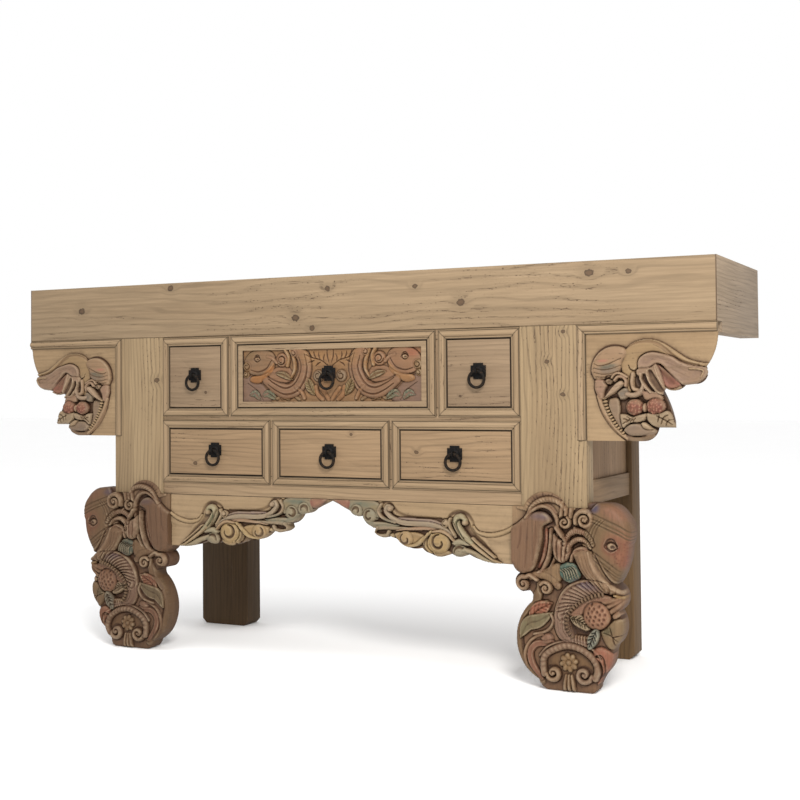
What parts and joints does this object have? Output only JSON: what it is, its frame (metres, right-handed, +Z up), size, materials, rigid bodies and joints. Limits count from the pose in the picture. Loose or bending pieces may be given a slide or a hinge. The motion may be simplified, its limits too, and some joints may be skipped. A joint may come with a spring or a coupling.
{
  "type": "drawer console table",
  "caption": "Long wooden altar console with a thick boxed top, carved elephant legs and wing brackets, a leafy apron and drawers with iron ring pulls.",
  "frame": {"origin": "on the floor, under the middle of the console's bounding box", "axes": "+X along the length, to the right of someone who faces the drawers; +Y to the back; +Z up"},
  "size_m": [1.72, 0.4329, 0.87],
  "materials": {
    "pine_top": "raw reclaimed pine, matt, with knots and open grain",
    "pine_frame": "raw planed pine, matt",
    "pine_drawer": "raw planed pine, matt, slightly pink",
    "carved_wood": "carved wood with rubbed, faded colour washes",
    "old_pine": "unfinished pine, matt",
    "black_iron": "blackened iron, satin"
  },
  "bodies": {
    "carcass": {"front_fascia": "pine_top", "back_fascia": "pine_top", "left_end_board": "pine_top", "right_end_board": "pine_top", "top_planks": "pine_top", "top_battens": "old_pine", "underboard": "old_pine", "front_left_post": "pine_frame", "front_right_post": "pine_frame", "rear_left_post": "old_pine", "rear_right_post": "old_pine", "left_leg_carving": "carved_wood", "right_leg_carving": "carved_wood", "left_wing_bracket": "carved_wood", "right_wing_bracket": "carved_wood", "left_wing_beads": "pine_frame", "right_wing_beads": "pine_frame", "left_apron": "carved_wood", "right_apron": "carved_wood", "top_rail": "pine_frame", "middle_rail": "pine_frame", "bottom_rail": "pine_frame", "upper_stiles": "pine_frame", "lower_stiles": "pine_frame", "upper_bead_frames": "pine_frame", "lower_bead_frames": "pine_frame", "upper_shelf": "old_pine", "lower_shelf": "old_pine", "drawer_guides": "old_pine", "back_rails": "old_pine", "back_panel": "old_pine", "left_side_rail": "old_pine", "right_side_rail": "old_pine", "left_side_panel": "old_pine", "right_side_panel": "old_pine"},
    "upper_left_drawer": {"upper_left_drawer_front": "pine_drawer", "upper_left_drawer_box": "old_pine", "upper_left_drawer_pull_plate": "black_iron"},
    "upper_left_drawer_ring": {"upper_left_drawer_pull_ring": "black_iron"},
    "carved_drawer": {"carved_drawer_front": "carved_wood", "carved_drawer_box": "old_pine", "carved_drawer_pull_plate": "black_iron"},
    "carved_drawer_ring": {"carved_drawer_pull_ring": "black_iron"},
    "upper_right_drawer": {"upper_right_drawer_front": "pine_drawer", "upper_right_drawer_box": "old_pine", "upper_right_drawer_pull_plate": "black_iron"},
    "upper_right_drawer_ring": {"upper_right_drawer_pull_ring": "black_iron"},
    "lower_left_drawer": {"lower_left_drawer_front": "pine_drawer", "lower_left_drawer_box": "old_pine", "lower_left_drawer_pull_plate": "black_iron"},
    "lower_left_drawer_ring": {"lower_left_drawer_pull_ring": "black_iron"},
    "lower_middle_drawer": {"lower_middle_drawer_front": "pine_drawer", "lower_middle_drawer_box": "old_pine", "lower_middle_drawer_pull_plate": "black_iron"},
    "lower_middle_drawer_ring": {"lower_middle_drawer_pull_ring": "black_iron"},
    "lower_right_drawer": {"lower_right_drawer_front": "pine_drawer", "lower_right_drawer_box": "old_pine", "lower_right_drawer_pull_plate": "black_iron"},
    "lower_right_drawer_ring": {"lower_right_drawer_pull_ring": "black_iron"}
  },
  "joints": [
    {"name": "upper_left_drawer_slide", "type": "slide", "parent": "carcass", "child": "upper_left_drawer", "axis": [0, -1, 0], "range_m": [0, 0.25]},
    {"name": "upper_left_drawer_ring_swing", "type": "hinge", "parent": "upper_left_drawer", "child": "upper_left_drawer_ring", "pos_m": [-0.36, -0.20705, 0.6505], "axis": [-1, 0, 0], "range_deg": [0, 160]},
    {"name": "carved_drawer_slide", "type": "slide", "parent": "carcass", "child": "carved_drawer", "axis": [0, -1, 0], "range_m": [0, 0.25]},
    {"name": "carved_drawer_ring_swing", "type": "hinge", "parent": "carved_drawer", "child": "carved_drawer_ring", "pos_m": [0, -0.20705, 0.6505], "axis": [-1, 0, 0], "range_deg": [0, 160]},
    {"name": "upper_right_drawer_slide", "type": "slide", "parent": "carcass", "child": "upper_right_drawer", "axis": [0, -1, 0], "range_m": [0, 0.25]},
    {"name": "upper_right_drawer_ring_swing", "type": "hinge", "parent": "upper_right_drawer", "child": "upper_right_drawer_ring", "pos_m": [0.36, -0.20705, 0.6505], "axis": [-1, 0, 0], "range_deg": [0, 160]},
    {"name": "lower_left_drawer_slide", "type": "slide", "parent": "carcass", "child": "lower_left_drawer", "axis": [0, -1, 0], "range_m": [0, 0.25]},
    {"name": "lower_left_drawer_ring_swing", "type": "hinge", "parent": "lower_left_drawer", "child": "lower_left_drawer_ring", "pos_m": [-0.304, -0.20705, 0.47625], "axis": [-1, 0, 0], "range_deg": [0, 160]},
    {"name": "lower_middle_drawer_slide", "type": "slide", "parent": "carcass", "child": "lower_middle_drawer", "axis": [0, -1, 0], "range_m": [0, 0.25]},
    {"name": "lower_middle_drawer_ring_swing", "type": "hinge", "parent": "lower_middle_drawer", "child": "lower_middle_drawer_ring", "pos_m": [0, -0.20705, 0.47625], "axis": [-1, 0, 0], "range_deg": [0, 160]},
    {"name": "lower_right_drawer_slide", "type": "slide", "parent": "carcass", "child": "lower_right_drawer", "axis": [0, -1, 0], "range_m": [0, 0.25]},
    {"name": "lower_right_drawer_ring_swing", "type": "hinge", "parent": "lower_right_drawer", "child": "lower_right_drawer_ring", "pos_m": [0.304, -0.20705, 0.47625], "axis": [-1, 0, 0], "range_deg": [0, 160]}
  ]
}
